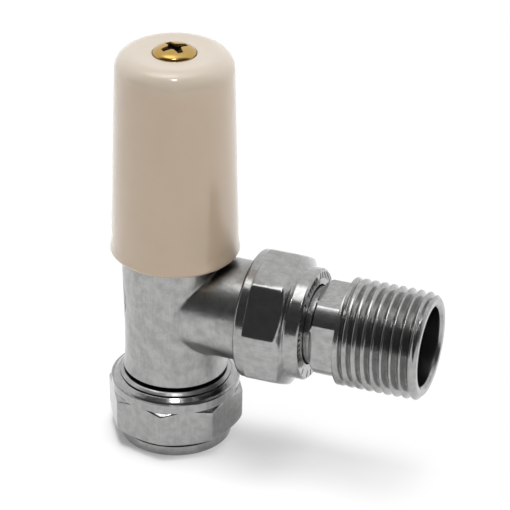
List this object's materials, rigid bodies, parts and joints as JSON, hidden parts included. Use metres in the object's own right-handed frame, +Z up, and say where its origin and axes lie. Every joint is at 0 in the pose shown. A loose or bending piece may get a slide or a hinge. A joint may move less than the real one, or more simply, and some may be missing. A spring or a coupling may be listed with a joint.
{
  "type": "angle radiator valve",
  "caption": "Manual angle radiator valve with a tapered plastic cap, a plated body, a compression nut for the pipe and a union tail with a male taper thread.",
  "frame": {"origin": "The middle of the compression nut's bottom face, where the pipe goes in, on the axis of the pipe and the spindle.", "axes": "+Z runs up along the pipe and spindle axis, +X runs out along the tail, and -Y is the front."},
  "size_m": [0.065, 0.0268, 0.0827],
  "materials": {
    "plated_forging": "nickel plate over a blasted brass forging, satin",
    "plated_nut": "nickel plate over turned brass bar, bright with fine lathe lines",
    "plated_tail": "nickel plate over turned brass, satin bright",
    "cream_plastic": "moulded plastic, cream, fine satin surface",
    "bright_brass": "bright yellow passivated",
    "raw_brass": "turned, unplated",
    "black_rubber": "moulded, matt",
    "seal_fibre": "pressed fibre and rubber, matt",
    "white_packing": "white fluoropolymer packing, waxy",
    "spring_wire": "drawn stainless wire"
  },
  "bodies": {
    "valve": {"valve_body": "plated_forging", "headwork": "raw_brass", "headwork_seal": "seal_fibre", "gland_packing": "white_packing", "gland_follower": "raw_brass", "gland_nut": "raw_brass"},
    "jumper": {"jumper": "raw_brass", "valve_washer": "black_rubber", "washer_nut": "raw_brass"},
    "head": {"spindle": "raw_brass", "spindle_o_ring": "black_rubber", "cap": "cream_plastic", "cap_screw": "bright_brass"},
    "olive": {"olive": "raw_brass"},
    "pipe_nut": {"compression_nut": "plated_nut"},
    "tail": {"radiator_tail": "plated_tail", "tail_o_ring": "black_rubber", "retaining_ring": "spring_wire"},
    "union_nut": {"union_nut": "plated_nut"}
  },
  "joints": [
    {"name": "jumper_lift", "type": "slide", "parent": "valve", "child": "jumper", "axis": [0, 0, 1], "range_m": [0, 0.00375]},
    {"name": "cap_turn", "type": "hinge", "parent": "jumper", "child": "head", "pos_m": [0, 0, 0.06], "axis": [0, 0, 1], "range_deg": [0, 900]},
    {"name": "olive_drop", "type": "slide", "parent": "valve", "child": "olive", "axis": [0, 0, -1], "range_m": [0, 0.00726]},
    {"name": "pipe_nut_turn", "type": "hinge", "parent": "olive", "child": "pipe_nut", "pos_m": [0, 0, 0.006], "axis": [0, 0, -1], "range_deg": [0, 1440]},
    {"name": "tail_withdraw", "type": "slide", "parent": "valve", "child": "tail", "axis": [1, 0, 0], "range_m": [0, 0.00544]},
    {"name": "union_nut_turn", "type": "hinge", "parent": "tail", "child": "union_nut", "pos_m": [0.0225, 0, 0.0297], "axis": [1, 0, 0], "range_deg": [0, 1080]}
  ],
  "couplings": [
    {"joint": "cap_turn", "follows": "jumper_lift", "rad_per_m": 4188.8},
    {"joint": "pipe_nut_turn", "follows": "olive_drop", "rad_per_m": 3463.7},
    {"joint": "union_nut_turn", "follows": "tail_withdraw", "rad_per_m": 3463.7}
  ]
}
